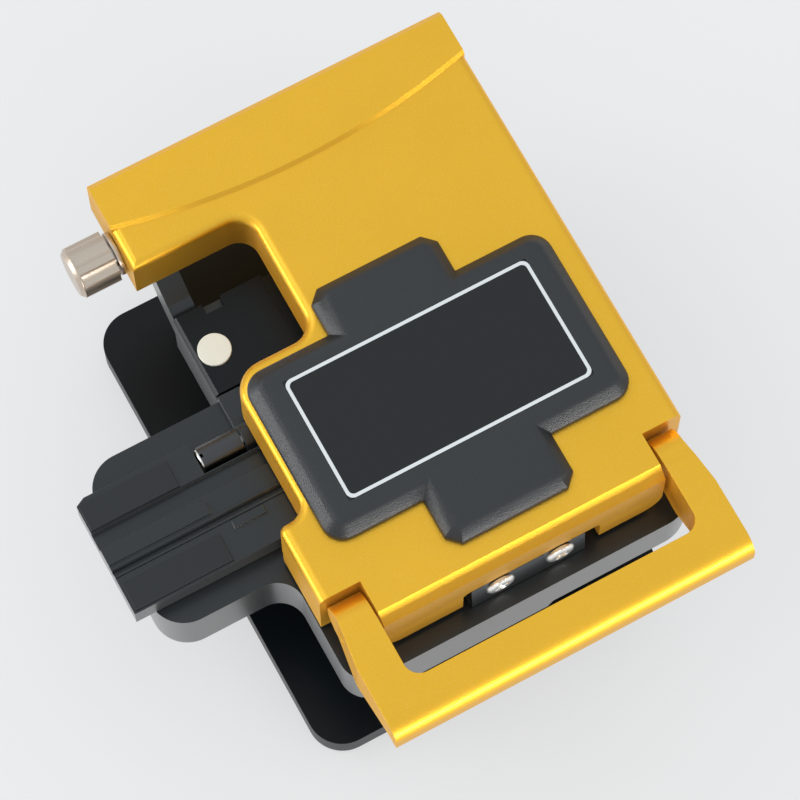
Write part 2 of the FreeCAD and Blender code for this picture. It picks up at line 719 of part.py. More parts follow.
outer = [("Edge%d" % i) for i, e in enumerate(blade.Tip.Shape.Edges, 1)
         if isinstance(e.Curve, Part.Circle) and abs(e.Curve.Radius - number(S.BladeRadius)) < 1e-6]
soften(blade, "Chamfer", "edge", S.BladeThick * 0.35, outer)
keep(blade, "blade")
HeadLong = 1.4
keep(joined("MultiFuse", "blade_screw", [
    rod("blade_screw_head", "X", S.BladeX - S.BladeThick / 2 - S.RunFit - HeadLong, S.BladeHome, BladeZ,
        S.ScrewHead / 2, HeadLong),
    rod("blade_screw_shank", "X", S.BladeX - S.BladeThick / 2 - S.RunFit, S.BladeHome, BladeZ,
        S.ScrewDia / 2, S.BladeThick + S.RunFit + 0.8 + S.TowerThick)]), "blade_screw")

# ---------------------------------------------------------------- lid
lid = new_body("lid_body")
place(lid, z=LidSkirt)
SkirtTall = LidUnder - LidSkirt
NotchLeftIn, NotchRightIn = S.LidLeft + S.NotchInset, S.LidRight - S.NotchInset
LidOutline = [
    (S.LidLeft, S.LidFront), (S.LidRight, S.LidFront), (S.LidRight, S.LidRear), (S.LidLeft, S.LidRear),
    (S.LidLeft, S.WindowRear), (S.WindowRight, S.WindowRear), (S.WindowRight, S.WindowFront),
    (S.SideLeft, S.WindowFront), (S.SideLeft, S.SideFront), (S.LidLeft, S.SideFront)]
pad(lid, "plate", XY, SkirtTall, S.LidPlate, LidOutline)
fillet(lid, "window_corners", 3.5, "Z", (S.WindowRight, S.WindowRear), (S.WindowRight, S.WindowFront))
fillet(lid, "shoulder", 5, "Z", (S.SideLeft, S.WindowFront))
fillet(lid, "side_step", 2.8, "Z", (S.SideLeft, S.SideFront))
fillet(lid, "side_corner", 1.3, "Z", (S.LidLeft, S.SideFront))
PocketFront = S.NotchRear + S.LidWall
pad(lid, "skirt", XY, 0, SkirtTall,
    [(S.LidLeft, S.LidFront), (S.LidRight, S.LidFront), (S.LidRight, S.BedRear),
     (S.LidRight - S.LidWall, S.BedRear), (S.LidRight - S.LidWall, PocketFront),
     (S.LidLeft + S.LidWall, PocketFront), (S.LidLeft + S.LidWall, S.SideFront - 1.3),
     (S.LidLeft, S.SideFront - 1.3)])
pocket(lid, "underside", XY, 0, LidCeiling - LidSkirt,
       [(S.SideLeft + S.LidWall, PocketFront), (S.LidRight - S.LidWall, PocketFront),
        (S.LidRight - S.LidWall, S.WindowRear - S.LidWall), (S.WindowRight + S.LidWall, S.WindowRear - S.LidWall),
        (S.WindowRight + S.LidWall, S.WindowFront - S.LidWall), (S.SideLeft + S.LidWall, S.WindowFront - S.LidWall)])
for side, left, right in (("left", S.LidLeft - 1, NotchLeftIn), ("right", NotchRightIn, S.LidRight + 1)):
    pocket(lid, side + "_notch", XY, 0, S.LidPlate + SkirtTall, rect(left, S.LidFront - 1, right, S.NotchRear))
for side, left in (("left", S.EarLeft), ("right", S.EarRight)):
    pocket(lid, side + "_ear_slot", XY, SkirtTall, HingeZ + S.EarRadius + 0.3 - LidUnder,
           rect(left - 0.3, S.HingeY - S.EarRadius - 0.3, left + S.EarWidth + 0.3, S.HingeY + 6.3))
pocket(lid, "hinge_bore", YZ, S.LidLeft, S.LidRight - S.LidLeft,
       (S.HingeY, HingeZ - LidSkirt, S.ShaftDia / 2 + S.RunFit))
for side, left in (("left", NotchLeftIn), ("right", NotchRightIn - S.PinGrip)):
    pocket(lid, side + "_pin_bore", YZ, left, S.PinGrip, (S.BailPinY, BailPinZ - LidSkirt, S.BailPinDia / 2))
LatchFront = S.LidFront
SeatLeft, SeatRight = S.LatchLeft - 1.4, S.LatchRight + 2.7
pocket(lid, "latch_seat", XY, 0, S.LatchTall + 0.2,
       rect(SeatLeft, S.LidFront - 1, SeatRight, LatchFront + S.LatchDeep))
LatchScrews = [S.LatchScrewX - S.LatchScrewGap / 2, S.LatchScrewX + S.LatchScrewGap / 2]
LatchMid = S.LatchTall - S.LatchHead / 2 - S.PartGap / 2
pocket(lid, "latch_screw_holes", XZ, LatchFront + S.LatchDeep, 4,
       *[(x, LatchMid, S.ScrewDia / 2) for x in LatchScrews])
fillet(lid, "latch_corners", 1.2, "Y", (SeatLeft, S.LatchTall + 0.2), (SeatRight, S.LatchTall + 0.2))
fillet(lid, "front_corners", S.LidCorner, "Y", (NotchLeftIn, 0), (NotchRightIn, 0))
chamfer(lid, "front_chamfer", S.LidChamfer, "X", (S.LidFront, S.LidTop - LidSkirt))
# The rear of the lid stands a little proud, behind a shallow bowed step.
CrownSide = S.CrownFront + 4
crown = new_sketch(lid, "crown_sketch", XY, S.LidTop - LidSkirt)
outline(crown, rect(S.LidLeft, CrownSide, S.LidRight, S.LidRear))
crown.delGeometry(0)
bow = crown.addGeometry(Part.Arc(V(number(S.LidLeft), number(CrownSide), 0),
                                 V(number(LidMidX), number(S.CrownFront), 0),
                                 V(number(S.LidRight), number(CrownSide), 0)), False)
crown.addConstraint(Sketcher.Constraint("Coincident", bow, 1, 2, 2))
crown.addConstraint(Sketcher.Constraint("Coincident", bow, 2, 0, 1))
doc.recompute()
crown_pad = lid.newObject("PartDesign::Pad", "crown")
crown_pad.Profile = crown
bind(crown_pad, Length=S.CrownRise)
doc.recompute()


def arc_edges(body, test):
    return ["Edge%d" % i for i, e in enumerate(body.Tip.Shape.Edges, 1)
            if isinstance(e.Curve, Part.Circle) and test(e)]


high = number(S.LidTop - LidSkirt + S.CrownRise)
soften(lid, "Chamfer", "crown_step", S.CrownRise * 0.98,
       arc_edges(lid, lambda e: e.Curve.Radius > 60 and e.BoundBox.ZMin > high - 0.01))
chamfer(lid, "rear_bevel", 1, "X", (S.LidRear, S.LidTop + S.CrownRise - LidSkirt))
fillet(lid, "side_edges", S.LidEdge, "Y", (S.LidLeft, S.LidTop - LidSkirt), (S.LidRight, S.LidTop - LidSkirt))
keep(lid, "lid")

# ---------------------------------------------------------------- what hangs inside the lid
upper, upper_pads = [], []
UpperPadLow = FibreZ + 0.3
for side, x in (("left", S.LeftClampX), ("right", S.RightClampX)):
    x0, x1 = x - S.ClampWidth / 2, x + S.ClampWidth / 2
    y0, y1 = S.FibreY - S.ClampLength / 2, S.FibreY + S.ClampLength / 2
    upper.append(block("upper_clamp_" + side, x0, y0, UpperPadLow + S.ClampPadTall, x1, y1, LidCeiling))
    upper_pads.append(block("upper_pad_" + side, x0 + 0.3, y0 + 0.3, UpperPadLow, x1 - 0.3, y1 - 0.3,
                            UpperPadLow + S.ClampPadTall))
keep(group("upper_clamps", upper), "upper_clamps")
keep(group("upper_pads", upper_pads), "upper_pads")

guide = new_body("anvil_guide")
place(guide, S.BladeX, S.FibreY, 0)
GuideLow, LipTall = UpperPadLow + 1.6, 1
AnvilLong, AnvilHalf = S.AnvilLength / 2, S.AnvilWidth / 2
pad(guide, "shell", XY, GuideLow, LidCeiling - GuideLow,
    rect(-AnvilHalf - S.GuideWall - 0.7, -AnvilLong - S.GuideWall - 1, AnvilHalf + S.GuideWall + 0.7,
         AnvilLong + S.GuideWall + 1))
pocket(guide, "mouth", XY, GuideLow, LipTall,
       rect(-AnvilHalf - S.SlideFit, -AnvilLong - S.SlideFit, AnvilHalf + S.SlideFit, AnvilLong + S.SlideFit))
pocket(guide, "bay", XY, GuideLow + LipTall, LidCeiling - GuideLow - LipTall,
       rect(-AnvilHalf - 0.7, -AnvilLong - 1, AnvilHalf + 0.7, AnvilLong + 1))
keep(guide, "anvil_guide")
anvil = new_body("anvil")
place(anvil, S.BladeX, S.FibreY, 0)
AnvilLow = FibreZ + 0.9
FlangeLow = GuideLow + LipTall + 0.1
pad(anvil, "foot", XY, AnvilLow, FlangeLow + 1 - AnvilLow, rect(-AnvilHalf, -AnvilLong, AnvilHalf, AnvilLong))
pad(anvil, "flange", XY, FlangeLow, 1,
    rect(-AnvilHalf - 0.4, -AnvilLong - 0.7, AnvilHalf + 0.4, AnvilLong + 0.7))
pad(anvil, "peg", XY, FlangeLow + 1, 1, (0, 0, 0.7))
keep(anvil, "anvil")
anvil_spring = doc.addObject("Part::Feature", "anvil_spring")
CoilLow = FlangeLow + 1 + S.AnvilWire / 2
CoilTall = LidCeiling - S.AnvilWire / 2 - CoilLow
anvil_spring.Shape = coil(1.15, number(S.AnvilWire), number(CoilTall) / 2, number(CoilTall))
place(anvil_spring, S.BladeX, S.FibreY, CoilLow)
keep(anvil_spring, "anvil_spring")

# ---------------------------------------------------------------- latch block in the lid's front edge
latch = new_body("latch_block")
place(latch, 0, LatchFront, LidSkirt)
pad(latch, "block", YZ, S.LatchLeft, S.LatchRight - S.LatchLeft,
    [(0, S.LatchTall), (-S.LatchLean, -S.LatchDrop), (S.LatchDeep, -S.LatchDrop), (S.LatchDeep, S.LatchTall)])
pocket(latch, "head_seats", XZ, -1, 1, *[(x, LatchMid, S.LatchHead / 2 + S.RunFit) for x in LatchScrews])
pocket(latch, "screw_holes", XZ, 0, S.LatchDeep, *[(x, LatchMid, S.ScrewDia / 2) for x in LatchScrews])
keep(latch, "latch_block")
screws = []
for i, x in enumerate(LatchScrews, 1):
    z = LidSkirt + LatchMid
    screws.append(joined("MultiFuse", "latch_screw_%d" % i, [
        rod("latch_head_%d" % i, "Y", x, LatchFront - 0.7, z, S.LatchHead / 2, 0.7),
        rod("latch_shank_%d" % i, "Y", x, LatchFront, z, S.ScrewDia / 2, S.LatchDeep + 3)]))
keep(group("latch_screws", screws), "latch_screws")

# ---------------------------------------------------------------- bail handle
bail = new_body("bail_handle")
place(bail, 0, S.BailPinY, BailPinZ)
BailLeft, BailRight = S.LidLeft + S.BailInset, S.LidRight - S.BailRightInset
ArmLeft, ArmRight = BailLeft + S.BailArm, BailRight - S.BailRightArm
Front, Inner = S.BailFront - S.BailPinY, S.BailInner - S.BailPinY
Top, Under = BailTop - BailPinZ, BailUnder - BailPinZ
# One block with the whole outline seen from above, flared outwards ahead of the lid.
FlareStart, FlareEnd = 1.5, -6.5
pad(bail, "outline", XY, Under - 1, Top - Under + 1,
    [(BailLeft, S.BailEnd + 0.1), (BailLeft, FlareStart), (BailLeft - S.BailFlare, FlareEnd),
     (BailLeft - S.BailFlare, Front), (BailRight + S.BailFlare, Front), (BailRight + S.BailFlare, FlareEnd),
     (BailRight, FlareStart), (BailRight, S.BailEnd + 0.1), (ArmRight, S.BailEnd + 0.1), (ArmRight, Inner),
     (ArmLeft, Inner), (ArmLeft, S.BailEnd + 0.1)])
fillet(bail, "window_corners", 2.6, "Z", (ArmLeft, Inner), (ArmRight, Inner))
# Seen from the side it tapers to a thin front edge, and its rear end is round about the pins.
Wide = BailRight - BailLeft + 2 * S.BailFlare + 2
pocket(bail, "underside", YZ, BailLeft - S.BailFlare - 1, Wide,
       [(S.BailEnd + 1, Under - 2), (S.BailEnd + 1, -S.BailEnd), (0, -S.BailEnd), (-4.5, Under),
        (-5.6, Under), (Front + 2.2, Top - S.BailLip), (Front - 1, Top - S.BailLip), (Front - 1, Under - 2)])
pocket(bail, "rear_slope", YZ, BailLeft - S.BailFlare - 1, Wide,
       [(0, S.BailEnd), (-1.5, Top), (-1.5, Top + 1), (S.BailEnd + 1, Top + 1), (S.BailEnd + 1, S.BailEnd)])
fillet(bail, "rear_end", S.BailEnd * 0.98, "X", (S.BailEnd + 0.1, S.BailEnd), (S.BailEnd + 0.1, -S.BailEnd))
pocket(bail, "pin_bores", YZ, BailLeft - S.BailFlare, Wide - 2, (0, 0, S.BailPinDia / 2 + S.RunFit))
fillet(bail, "roll", S.BailRoll, "X", (Front, Top))
fillet(bail, "under_roll", 0.5, "X", (Front, Top - S.BailLip))
keep(bail, "bail_handle")
PinSpans = (("left", BailLeft + 0.2, NotchLeftIn + S.PinGrip),
            ("right", NotchRightIn - S.PinGrip, BailRight - 0.2))
keep(group("bail_pins", [
    rod("bail_pin_" + side, "X", left, S.BailPinY, BailPinZ, S.BailPinDia / 2, right - left)
    for side, left, right in PinSpans]), "bail_pins")

# ---------------------------------------------------------------- cover with its label
cover = new_body("lid_cover")
place(cover, S.CoverX, S.CoverY, S.LidTop)
wide, deep, tab = S.CoverWidth / 2, S.CoverDepth / 2, S.CoverTabWidth / 2
TabMid, TabRise, TabDrop = S.TabX - S.CoverX, S.CoverTabRear - S.CoverY, S.CoverTabFront - S.CoverY
pad(cover, "pad", XY, 0, S.CoverTall,
    [(-wide, -deep), (TabMid - tab, -deep), (TabMid - tab, TabDrop), (TabMid + tab, TabDrop),
     (TabMid + tab, -deep), (wide, -deep), (wide, deep), (TabMid + tab, deep), (TabMid + tab, TabRise),
     (TabMid - tab, TabRise), (TabMid - tab, deep), (-wide, deep)])
fillet(cover, "corners", 3.5, "Z", (-wide, -deep), (wide, -deep), (wide, deep), (-wide, deep))
chamfer(cover, "tab_corners", 2, "Z", (TabMid - tab, TabDrop), (TabMid + tab, TabDrop),
        (TabMid + tab, TabRise), (TabMid - tab, TabRise))
top_edges = ["Edge%d" % i for i, e in enumerate(cover.Tip.Shape.Edges, 1)
             if e.BoundBox.ZMin > number(S.CoverTall) - 1e-4]
soften(cover, "Chamfer", "bevel", S.CoverBevel, top_edges)
LabelWide, LabelDeep = S.LabelWidth / 2, S.LabelDepth / 2
OffX, OffY = S.LabelX - S.CoverX, S.LabelY - S.CoverY
pocket(cover, "label_recess", XY, S.CoverTall - S.LabelSink, S.LabelSink,
       rect(OffX - LabelWide, OffY - LabelDeep, OffX + LabelWide, OffY + LabelDeep))
fillet(cover, "label_corners", S.LabelRound, "Z",
       *[(x, y) for x in (OffX - LabelWide, OffX + LabelWide) for y in (OffY - LabelDeep, OffY + LabelDeep)])
keep(cover, "lid_cover")
LabelZ = S.LidTop + S.CoverTall - S.LabelSink
border = new_body("label_border")
place(border, S.LabelX, S.LabelY, LabelZ)
LabelFour = [(x, y) for x in (-LabelWide, LabelWide) for y in (-LabelDeep, LabelDeep)]
pad(border, "frame", XY, 0, S.LabelSink, rect(-LabelWide, -LabelDeep, LabelWide, LabelDeep))
fillet(border, "outer_corners", S.LabelRound, "Z", *LabelFour)
InnerWide, InnerDeep = LabelWide - S.LabelRim, LabelDeep - S.LabelRim
InnerFour = [(x, y) for x in (-InnerWide, InnerWide) for y in (-InnerDeep, InnerDeep)]
pocket(border, "opening", XY, 0, S.LabelSink, rect(-InnerWide, -InnerDeep, InnerWide, InnerDeep))
fillet(border, "inner_corners", S.LabelRound - S.LabelRim * 0.6, "Z", *InnerFour)
keep(border, "label_border")
label = new_body("label_body")
place(label, S.LabelX, S.LabelY, LabelZ)
pad(label, "field", XY, 0, S.LabelSink, rect(-InnerWide, -InnerDeep, InnerWide, InnerDeep))
fillet(label, "corners", S.LabelRound - S.LabelRim * 0.6, "Z", *InnerFour)
keep(label, "label_plate")

# ---------------------------------------------------------------- export
doc.recompute()
for thing in doc.Objects:
    if "Invalid" in thing.State or "Error" in thing.State:
        raise RuntimeError("%s: %s" % (thing.Label, thing.State))
os.makedirs("parts", exist_ok=True)
for name, thing in nodes:
    shape = thing.Shape
    if shape.isNull() or not shape.isValid() or not shape.Solids:
        raise RuntimeError("%s has no sound shape" % name)
    shape.exportStep(os.path.join("parts", name + ".step"))
    box = shape.BoundBox
    print("%-14s %d solids  X %.2f %.2f  Y %.2f %.2f  Z %.2f %.2f" % (
        name, len(shape.Solids), box.XMin, box.XMax, box.YMin, box.YMax, box.ZMin, box.ZMax))
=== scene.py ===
"""Dresses the packed fibre cleaver: finishes for its solids, and the small pieces that they leave out."""
import math

import bmesh
import bpy
from mathutils import Matrix, Vector


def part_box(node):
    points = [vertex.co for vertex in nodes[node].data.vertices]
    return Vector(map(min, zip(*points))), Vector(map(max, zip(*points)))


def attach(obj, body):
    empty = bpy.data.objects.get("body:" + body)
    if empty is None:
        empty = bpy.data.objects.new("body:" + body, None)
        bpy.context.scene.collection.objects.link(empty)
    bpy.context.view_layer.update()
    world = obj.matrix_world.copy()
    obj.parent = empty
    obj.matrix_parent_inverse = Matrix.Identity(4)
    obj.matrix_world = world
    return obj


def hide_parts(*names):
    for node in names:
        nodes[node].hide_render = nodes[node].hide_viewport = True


MM = 0.001
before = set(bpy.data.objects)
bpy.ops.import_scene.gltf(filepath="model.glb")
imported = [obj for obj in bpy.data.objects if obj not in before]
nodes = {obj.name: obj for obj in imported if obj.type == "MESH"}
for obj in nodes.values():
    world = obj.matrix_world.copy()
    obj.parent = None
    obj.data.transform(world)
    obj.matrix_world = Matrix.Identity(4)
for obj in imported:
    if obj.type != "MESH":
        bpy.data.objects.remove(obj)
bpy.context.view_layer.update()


# ------------------------------------------------------------------ node groups
def new_group(name, inputs, outputs):
    group = bpy.data.node_groups.new(name, "ShaderNodeTree")
    for label, kind, value in inputs:
        socket = group.interface.new_socket(label, in_out="INPUT", socket_type=kind)
        socket.default_value = value
    for label, kind in outputs:
        group.interface.new_socket(label, in_out="OUTPUT", socket_type=kind)
    return group, group.nodes.new("NodeGroupInput"), group.nodes.new("NodeGroupOutput")


def add_node(tree, kind, **settings):
    node = tree.nodes.new(kind)
    for key, value in settings.items():
        if key in node.inputs:
            node.inputs[key].default_value = value
        else:
            setattr(node, key, value)
    return node


def math_node(tree, operation, a, b=None, clamp=False):
    node = tree.nodes.new("ShaderNodeMath")
    node.operation = operation
    node.use_clamp = clamp
    for i, value in enumerate((a, b)):
        if value is None:
            continue
        if isinstance(value, (int, float)):
            node.inputs[i].default_value = value
        else:
            tree.links.new(value, node.inputs[i])
    return node.outputs[0]


MM_IN_METRE = 1000.0
MOTTLE_SIZE = 12.0        # mm
BARE_CELL_SHARE = 0.72    # of the grain's cells
SPOT_FALL = 2.6          # a spot is gone at 1 / 2.6 of a cell's size


def build_grain():
    """Fine grain of a blasted or moulded skin: its height and speckle, a slow mottle, and bright spots, which
    are real flecks in a moulding and painted glints on the gold.
    """
    group, gin, gout = new_group(
        "skin_grain",
        [("Grain Size mm", "NodeSocketFloat", 0.3), ("Mottle Size mm", "NodeSocketFloat", MOTTLE_SIZE)],
        [("Height", "NodeSocketFloat"), ("Speckle", "NodeSocketFloat"), ("Mottle", "NodeSocketFloat"),
         ("Fleck and Glint", "NodeSocketFloat")])
    coords = group.nodes.new("ShaderNodeTexCoord")
    link = group.links.new
    fine_scale = math_node(group, "DIVIDE", MM_IN_METRE, gin.outputs["Grain Size mm"])
    slow_scale = math_node(group, "DIVIDE", MM_IN_METRE, gin.outputs["Mottle Size mm"])
    fine = add_node(group, "ShaderNodeTexNoise", Detail=3.0, Roughness=0.65)
    slow = add_node(group, "ShaderNodeTexNoise", Detail=2.0, Roughness=0.5)
    cells = add_node(group, "ShaderNodeTexVoronoi")
    for texture, scale in ((fine, fine_scale), (slow, slow_scale), (cells, fine_scale)):
        link(coords.outputs["Object"], texture.inputs["Vector"])
        link(scale, texture.inputs["Scale"])
    height = math_node(group, "ADD", fine.outputs["Fac"], cells.outputs["Distance"])
    link(height, gout.inputs["Height"])
    link(fine.outputs["Fac"], gout.inputs["Speckle"])
    link(slow.outputs["Fac"], gout.inputs["Mottle"])
    # Some cells hold a bright spot at their middle: a fleck in the moulding, a painted glint on the gold.
    split = add_node(group, "ShaderNodeSeparateColor")
    link(cells.outputs["Color"], split.inputs["Color"])
    chosen = math_node(group, "GREATER_THAN", split.outputs["Red"], BARE_CELL_SHARE)
    away = math_node(group, "MULTIPLY", cells.outputs["Distance"], SPOT_FALL)
    middle = math_node(group, "SUBTRACT", 1.0, away, clamp=True)
    link(math_node(group, "MULTIPLY", chosen, middle, clamp=True), gout.inputs["Fleck and Glint"])
    return group


GRAIN = build_grain()
SHEEN_ROUGHNESS = 0.5
RELIEF_STRENGTH = 0.35
# How much of the colour's straying comes from the speckle, and how much from the mottle.
SPECKLE_SHARE, MOTTLE_SHARE = 0.6, 0.4


def finish_material(name, color, metallic, roughness, grain=0.3, bump=0.02, tone=0.05, rough_spread=0.06,
                    coat=0.0, coat_rough=0.12, specular=0.5, sheen=0.0, sheen_tint=(1.0, 1.0, 1.0),
                    fleck_and_glint=0.0, fleck_and_glint_color=(1.0, 1.0, 1.0)):
    """A finish with grain, slow colour variation and bright spots, all on Object coordinates; the spots are
    real flecks on the plastic and painted glints on the gold.

    grain is the size of the grain and bump its height, both in mm. tone is how far the colour strays to
    either side, and rough_spread how far the roughness does.
    """
    material = bpy.data.materials.new(name)
    material.use_nodes = True
    tree = material.node_tree
    link = tree.links.new
    shader = tree.nodes["Principled BSDF"]
    shader.inputs["Metallic"].default_value = metallic
    shader.inputs["Coat Weight"].default_value = coat
    shader.inputs["Coat Roughness"].default_value = coat_rough
    shader.inputs["Specular IOR Level"].default_value = specular
    shader.inputs["Sheen Weight"].default_value = sheen
    shader.inputs["Sheen Roughness"].default_value = SHEEN_ROUGHNESS
    shader.inputs["Sheen Tint"].default_value = (*sheen_tint, 1)
    skin = add_node(tree, "ShaderNodeGroup")
    skin.node_tree = GRAIN
    skin.inputs["Grain Size mm"].default_value = grain
    spread = add_node(tree, "ShaderNodeMix", data_type="RGBA", blend_type="MIX")
    dark = [max(0.0, c * (1 - tone)) for c in color]
    light = [min(1.0, c * (1 + tone)) for c in color]
    spread.inputs[6].default_value = (*dark, 1)
    spread.inputs[7].default_value = (*light, 1)
    amount = math_node(tree, "ADD", math_node(tree, "MULTIPLY", skin.outputs["Speckle"], SPECKLE_SHARE),
                       math_node(tree, "MULTIPLY", skin.outputs["Mottle"], MOTTLE_SHARE), clamp=True)
    link(amount, spread.inputs[0])
    shade = spread.outputs[2]
    if fleck_and_glint:
        flecks_and_glints = add_node(tree, "ShaderNodeMix", data_type="RGBA", blend_type="MIX")
        link(math_node(tree, "MULTIPLY", skin.outputs["Fleck and Glint"], fleck_and_glint, clamp=True), flecks_and_glints.inputs[0])
        link(shade, flecks_and_glints.inputs[6])
        flecks_and_glints.inputs[7].default_value = (*fleck_and_glint_color, 1)
        shade = flecks_and_glints.outputs[2]
    link(shade, shader.inputs["Base Color"])
    rough = math_node(tree, "ADD", math_node(tree, "MULTIPLY", skin.outputs["Mottle"], rough_spread),
                      roughness - rough_spread / 2, clamp=True)
    link(rough, shader.inputs["Roughness"])
    relief = add_node(tree, "ShaderNodeBump", Strength=RELIEF_STRENGTH)
    relief.inputs["Distance"].default_value = bump * MM
    link(skin.outputs["Height"], relief.inputs["Height"])
    link(relief.outputs["Normal"], shader.inputs["Normal"])
    return material


# ------------------------------------------------------------------ finishes
# Colours are linear. After the name and colour come metallic and roughness.
# The gold's pale yellow spots are painted glints: bright specks in its colour that stand in for the sparkle
# of its blasted skin.
gold = finish_material("gold_anodised", (0.91, 0.505, 0.03), 1.0, 0.42, grain=0.2, bump=0.05, tone=0.08,
                       coat=0.45, coat_rough=0.22, sheen=1.0, sheen_tint=(1.0, 0.50, 0.05), fleck_and_glint=0.45,
                       fleck_and_glint_color=(1.0, 0.80, 0.30))
black_metal = finish_material("black_anodised", (0.005, 0.0085, 0.0105), 0.0, 0.36, grain=0.25, bump=0.012,
                              tone=0.2, coat=1.0, coat_rough=0.28, specular=0.1, sheen=0.15)
# A darker, duller copy of the black anodised finish: painted shade for the base, housing and rear block,
# which lie in shade under the lid.
shaded_black_anodised = finish_material("shaded_black_anodised", (0.004, 0.006, 0.0075), 0.0, 0.4, grain=0.3, bump=0.02, tone=0.25,
                             coat=0.3, coat_rough=0.3, specular=0.08)
black_plastic = finish_material("black_moulded", (0.008, 0.010, 0.012), 0.0, 0.38, grain=0.22, bump=0.08,
                                tone=0.2, specular=0.68, fleck_and_glint=0.5, fleck_and_glint_color=(0.05, 0.05, 0.055))
label_black = finish_material("label_gloss", (0.008, 0.009, 0.010), 0.0, 0.2, grain=0.8, bump=0.004, tone=0.1,
                              specular=0.4)
silver = finish_material("label_silver", (0.90, 0.90, 0.90), 1.0, 0.35, grain=0.3, bump=0.005)
steel = finish_material("ground_steel", (0.56, 0.555, 0.54), 1.0, 0.3, grain=0.4, bump=0.01, tone=0.08)
dark_steel = finish_material("blued_steel", (0.13, 0.145, 0.155), 1.0, 0.36, grain=0.4, bump=0.015, tone=0.12)
nickel = finish_material("satin_nickel", (0.60, 0.505, 0.41), 1.0, 0.36, grain=0.35, bump=0.02, tone=0.08,
                         coat=0.35, coat_rough=0.2)
bright_steel = finish_material("bright_steel", (0.95, 0.94, 0.90), 1.0, 0.33, grain=0.3, bump=0.01)
carbide = finish_material("hard_steel", (0.35, 0.35, 0.37), 1.0, 0.28, grain=0.3, bump=0.006)
gunmetal = finish_material("gunmetal", (0.045, 0.046, 0.050), 1.0, 0.36, grain=0.3, bump=0.01, tone=0.12,
                           coat=1.0, coat_rough=0.3)
rubber = finish_material("foot_rubber", (0.03, 0.03, 0.031), 0.0, 0.75, grain=0.5, bump=0.05, tone=0.15)
pad_grey = finish_material("pad_rubber", (0.010, 0.012, 0.014), 0.0, 0.5, grain=0.4, bump=0.04, tone=0.12)
ivory = finish_material("ivory_plastic", (0.98, 0.955, 0.84), 0.0, 0.45, grain=0.5, bump=0.01, tone=0.04)

FINISHES = {
    gold: ["lid", "bail_handle"],
    shaded_black_anodised: ["base_plate", "housing", "rear_block"],
    black_metal: ["bed_plate", "lock_bearing", "fibre_slide", "groove_plate", "carriage", "anvil_guide"],
    black_plastic: ["lid_cover"],
    label_black: ["label_plate"],
    silver: ["label_border"],
    steel: ["base_screws", "hinge_shaft", "lock_pin", "lower_clamps", "rail", "blade_screw", "upper_clamps",
            "anvil_spring"],
    bright_steel: ["latch_screws", "bail_pins"],
    dark_steel: ["latch_block", "keeper_plate"],
    nickel: ["hinge_knob", "knob_washer"],
    gunmetal: ["lock_barrel"],
    carbide: ["blade"],
    rubber: ["rubber_feet"],
    pad_grey: ["slide_pads", "lower_pads", "upper_pads"],
    ivory: ["access_plug", "anvil"],
}
for finish, names in FINISHES.items():
    for name in names:
        mesh = nodes[name].data
        mesh.materials.clear()
        mesh.materials.append(finish)


# ------------------------------------------------------------------ making pieces
SAME_POINT = 0.001 * MM


def new_piece(name, work, finish, body, smooth=True):
    """Makes the bmesh a piece that rides on a body; work holds it in place, in metres."""
    bmesh.ops.remove_doubles(work, verts=work.verts, dist=SAME_POINT)
    bmesh.ops.recalc_face_normals(work, faces=work.faces)
    mesh = bpy.data.meshes.new(name)
    work.to_mesh(mesh)
    work.free()
    for face in mesh.polygons:
        face.use_smooth = smooth
    mesh.materials.append(finish)
    piece = bpy.data.objects.new(name, mesh)
    bpy.context.scene.collection.objects.link(piece)
    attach(piece, body)
    return piece


def raise_cap(work, cap, scale, rise):
    """Extrudes the cap face, scales it about its middle and lifts it; gives the new cap."""
    grown = bmesh.ops.extrude_face_region(work, geom=[cap])["geom"]
    bmesh.ops.delete(work, geom=[cap], context="FACES_ONLY")
    corners = [v for v in grown if isinstance(v, bmesh.types.BMVert)]
    cap = next(f for f in grown if isinstance(f, bmesh.types.BMFace))
    bmesh.ops.scale(work, vec=(scale, scale, 1), verts=corners)
    bmesh.ops.translate(work, vec=(0, 0, rise), verts=corners)
    return cap


def soften_corners(work, corners, radius, segments):
    """Rounds or cuts off an outline's corners."""
    picked = [v for v in work.verts if any((v.co.xy - Vector(c)).length < 10 * SAME_POINT for c in corners)]
    bmesh.ops.bevel(work, geom=picked, offset=radius, affect="VERTICES", segments=segments, profile=0.5,
                    material=-1)


def soften_edges(piece, width, least_degrees):
    """Rounds each edge where two faces meet at more than an angle."""
    bevel = piece.modifiers.new("soft_edges", "BEVEL")
    bevel.width = width
    bevel.segments = 2
    bevel.limit_method = "ANGLE"
    bevel.angle_limit = math.radians(least_degrees)
    bevel.harden_normals = True


# ------------------------------------------------------------------ latch screws
def cross_reach(angle, length, width):
    """How far a cross slot, with arms of half this length and width, reaches in a direction."""
    turn = (angle + math.pi / 4) % (math.pi / 2) - math.pi / 4
    return min(length / math.cos(turn), width / max(abs(math.sin(turn)), 1e-6))


# Each step up a head is a scale, and a rise as a share of the head's height: the rim, the dome and the flat
# that the slot is sunk in. The slot's bottom is given in the same way, and half its length and width as
# shares of the head's radius.
HEAD_STEPS = ((1.0, 0.35), (0.96, 0.2), (0.92, 0.2), (0.86, 0.13), (0.82, 0.07), (0.98, 0.0))
SLOT_BOTTOM = (0.6, -0.75)
SLOT_LENGTH, SLOT_WIDTH = 0.52, 0.15
HEAD_SIDES, SHANK_SIDES = 48, 24


